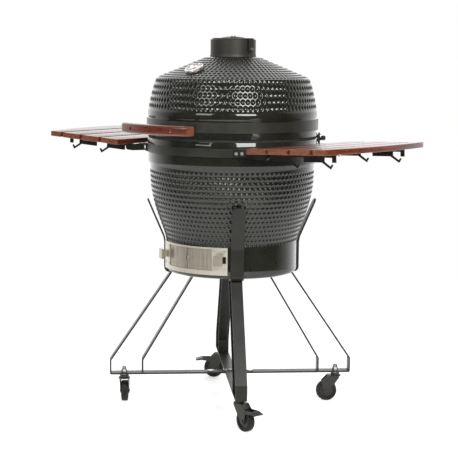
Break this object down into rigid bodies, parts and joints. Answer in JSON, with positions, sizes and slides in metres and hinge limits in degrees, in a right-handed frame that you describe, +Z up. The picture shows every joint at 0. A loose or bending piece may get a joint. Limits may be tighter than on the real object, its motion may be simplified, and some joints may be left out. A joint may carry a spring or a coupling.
{
  "type": "kamado ceramic grill",
  "caption": "Dimpled ceramic kamado grill with hinged lid, bowed wooden handle, draft door and damper, folding slatted side shelves with tool hooks, on a rolling steel stand.",
  "frame": {"origin": "on the floor, under the axis of the ceramic body", "axes": "+Z up, -Y towards the front with the handle and draft door, +Y towards the lid hinge, +X along the width through the side shelves"},
  "size_m": [1.2028, 0.784, 1.1833],
  "materials": {
    "glaze": "glossy anthracite glaze over small round dimples, smooth and glossy at the rims and foot",
    "refractory": "unglazed refractory, matte",
    "felt": "compressed heat-proof felt",
    "shelf_wood": "reddish varnished hardwood, visible grain, lighter end grain",
    "handle_wood": "reddish varnished hardwood, glossy, lighter cut ends",
    "cast_iron": "rough black cast iron",
    "cap_metal": "satin dark coated casting",
    "stainless": "brushed stainless, warm",
    "grate_steel": "drawn steel wire",
    "bezel_steel": "polished bezel",
    "dial": "white printed dial",
    "pointer": "red painted pointer",
    "wheel_rubber": "dark grey rubber tread on a plastic centre",
    "zinc_steel": "zinc plated",
    "black_steel": "satin black powder coat"
  },
  "bodies": {
    "base": {"base_shell": "glaze", "base_gasket": "felt", "lower_band": "black_steel", "firebox": "refractory", "fire_ring": "refractory", "charcoal_grate": "cast_iron", "cooking_grate": "grate_steel", "vent_frame": "stainless", "vent_screws": "zinc_steel", "hinge_bracket_lower": "black_steel", "hinge_pin": "zinc_steel", "hinge_springs": "zinc_steel", "shelf_mounts": "black_steel", "bolts": "zinc_steel", "cradle_strap_a": "black_steel", "cradle_strap_b": "black_steel", "leg_front_right": "black_steel", "leg_rear_right": "black_steel", "leg_rear_left": "black_steel", "leg_front_left": "black_steel", "foot_bar_a": "black_steel", "foot_bar_b": "black_steel", "caster_studs": "zinc_steel"},
    "lid": {"lid_shell": "glaze", "lid_gasket": "felt", "lid_band": "black_steel", "handle": "handle_wood", "handle_brackets": "black_steel", "handle_screws": "zinc_steel", "hinge_bracket_upper": "black_steel", "chimney_cap": "cap_metal", "thermometer_case": "bezel_steel", "thermometer_dial": "dial"},
    "damper": {"damper_disc": "cap_metal", "damper_bolts": "zinc_steel"},
    "thermometer_pointer": {"thermometer_needle": "pointer"},
    "draft_door_left": {"vent_door_left": "stainless"},
    "draft_door_right": {"vent_door_right": "stainless"},
    "shelf_right": {"shelf_right_slat_1": "shelf_wood", "shelf_right_slat_2": "shelf_wood", "shelf_right_slat_3": "shelf_wood", "shelf_right_slat_4": "shelf_wood", "shelf_right_arms": "black_steel", "shelf_right_screws": "zinc_steel"},
    "shelf_left": {"shelf_left_slat_1": "shelf_wood", "shelf_left_slat_2": "shelf_wood", "shelf_left_slat_3": "shelf_wood", "shelf_left_slat_4": "shelf_wood", "shelf_left_arms": "black_steel", "shelf_left_screws": "zinc_steel"},
    "caster_front_right": {"fork_front_right": "black_steel"},
    "wheel_front_right": {"wheel_front_right": "wheel_rubber"},
    "pedal_front_right": {"pedal_front_right": "black_steel"},
    "caster_rear_right": {"fork_rear_right": "black_steel"},
    "wheel_rear_right": {"wheel_rear_right": "wheel_rubber"},
    "caster_rear_left": {"fork_rear_left": "black_steel"},
    "wheel_rear_left": {"wheel_rear_left": "wheel_rubber"},
    "pedal_rear_left": {"pedal_rear_left": "black_steel"},
    "caster_front_left": {"fork_front_left": "black_steel"},
    "wheel_front_left": {"wheel_front_left": "wheel_rubber"}
  },
  "joints": [
    {"name": "lid_hinge", "type": "hinge", "parent": "base", "child": "lid", "pos_m": [0, 0.318, 0.868], "axis": [-1, 0, 0], "range_deg": [0, 75]},
    {"name": "damper_turn", "type": "hinge", "parent": "lid", "child": "damper", "pos_m": [0, 0, 1.1723], "axis": [0, 0, 1], "range_deg": [0, 45]},
    {"name": "pointer_turn", "type": "hinge", "parent": "lid", "child": "thermometer_pointer", "pos_m": [0, -0.182, 1.07636], "axis": [0, -0.4226, 0.9063], "range_deg": [-270, 0]},
    {"name": "draft_door_left_slide", "type": "hinge", "parent": "base", "child": "draft_door_left", "pos_m": [0, 0, 0.4975], "axis": [0, 0, -1], "range_deg": [0, 4.5]},
    {"name": "draft_door_right_slide", "type": "hinge", "parent": "base", "child": "draft_door_right", "pos_m": [0, 0, 0.4975], "axis": [0, 0, 1], "range_deg": [0, 4.5]},
    {"name": "shelf_right_fold", "type": "hinge", "parent": "base", "child": "shelf_right", "pos_m": [0.29172, -0.01274, 0.8255], "axis": [0.0436, 0.999, 0], "range_deg": [0, 90]},
    {"name": "shelf_left_fold", "type": "hinge", "parent": "base", "child": "shelf_left", "pos_m": [-0.29172, -0.01274, 0.8255], "axis": [0.0436, -0.999, 0], "range_deg": [0, 90]},
    {"name": "caster_front_right_swivel", "type": "hinge", "parent": "base", "child": "caster_front_right", "pos_m": [0.24367, -0.24367, 0.086], "axis": [0, 0, 1], "continuous": true},
    {"name": "wheel_front_right_roll", "type": "hinge", "parent": "caster_front_right", "child": "wheel_front_right", "pos_m": [0.27115, -0.24901, 0.0335], "axis": [0.1908, 0.9816, 0], "continuous": true},
    {"name": "pedal_front_right_press", "type": "hinge", "parent": "caster_front_right", "child": "pedal_front_right", "pos_m": [0.28293, -0.2513, 0.062], "axis": [0.1908, 0.9816, 0], "range_deg": [0, 10]},
    {"name": "caster_rear_right_swivel", "type": "hinge", "parent": "base", "child": "caster_rear_right", "pos_m": [0.24367, 0.24367, 0.086], "axis": [0, 0, 1], "continuous": true},
    {"name": "wheel_rear_right_roll", "type": "hinge", "parent": "caster_rear_right", "child": "wheel_rear_right", "pos_m": [0.22222, 0.22567, 0.0335], "axis": [0.6428, -0.766, 0], "continuous": true},
    {"name": "caster_rear_left_swivel", "type": "hinge", "parent": "base", "child": "caster_rear_left", "pos_m": [-0.24367, 0.24367, 0.086], "axis": [0, 0, 1], "continuous": true},
    {"name": "wheel_rear_left_roll", "type": "hinge", "parent": "caster_rear_left", "child": "wheel_rear_left", "pos_m": [-0.26512, 0.22567, 0.0335], "axis": [0.6428, -0.766, 0], "continuous": true},
    {"name": "pedal_rear_left_press", "type": "hinge", "parent": "caster_rear_left", "child": "pedal_rear_left", "pos_m": [-0.27431, 0.21796, 0.062], "axis": [0.6428, -0.766, 0], "range_deg": [0, 10]},
    {"name": "caster_front_left_swivel", "type": "hinge", "parent": "base", "child": "caster_front_left", "pos_m": [-0.24367, -0.24367, 0.086], "axis": [0, 0, 1], "continuous": true},
    {"name": "wheel_front_left_roll", "type": "hinge", "parent": "caster_front_left", "child": "wheel_front_left", "pos_m": [-0.26167, -0.22222, 0.0335], "axis": [-0.766, -0.6428, 0], "continuous": true}
  ]
}
